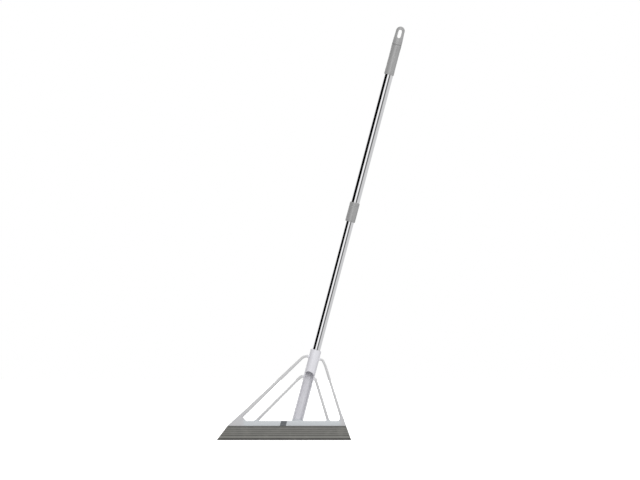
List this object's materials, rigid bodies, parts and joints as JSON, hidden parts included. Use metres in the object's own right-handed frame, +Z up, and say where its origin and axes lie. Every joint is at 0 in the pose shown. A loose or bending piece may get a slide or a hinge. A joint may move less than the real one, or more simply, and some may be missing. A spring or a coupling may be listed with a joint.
{
  "type": "floor squeegee broom",
  "caption": "Floor squeegee broom: slanted ribbed rubber blade on a triangular moulded head, with a telescopic metal pole, twist lock, grip and hanging loop.",
  "frame": {"origin": "middle of the rubber blade's lip, on the floor it stands on", "axes": "+X along the blade towards the side the pole leans to, +Y from the front to the back, +Z up"},
  "size_m": [0.4576, 0.0264, 1.0068],
  "materials": {
    "white_plastic": "satin moulded",
    "grey_rubber": "matt ribbed",
    "dark_rubber": "matt",
    "black_rubber": "matt",
    "bright_steel": "polished tube",
    "collar_plastic": "satin moulded",
    "grip_plastic": "fine grained",
    "spigot_plastic": "moulded",
    "black_plastic": "moulded",
    "natural_plastic": "unpigmented moulded",
    "screw_steel": "zinc plated"
  },
  "bodies": {
    "head": {"head_frame": "white_plastic", "rubber_blade": "grey_rubber", "blade_key": "dark_rubber", "lower_tube": "bright_steel", "thread_spigot": "spigot_plastic", "lock_plug": "black_plastic", "lock_cap": "black_plastic", "cap_screw": "screw_steel"},
    "lock": {"lock_sleeve": "natural_plastic", "drag_ring": "black_rubber"},
    "upper_pole": {"upper_tube": "bright_steel", "collar": "collar_plastic", "guide_bush": "natural_plastic", "grip": "grip_plastic", "end_plug": "natural_plastic"},
    "hanger": {"hanging_loop": "grip_plastic", "hanger_clip": "screw_steel"}
  },
  "joints": [
    {"name": "pole_twist", "type": "hinge", "parent": "head", "child": "lock", "pos_m": [0.18443, 0, 0.62312], "axis": [0.2554, 0, 0.9668], "range_deg": [0, 180]},
    {"name": "pole_slide", "type": "slide", "parent": "lock", "child": "upper_pole", "axis": [0.2554, 0, 0.9668], "range_m": [-0.27, 0]},
    {"name": "hanger_swivel", "type": "hinge", "parent": "upper_pole", "child": "hanger", "pos_m": [0.27525, 0, 0.96682], "axis": [0.2554, 0, 0.9668], "continuous": true}
  ]
}
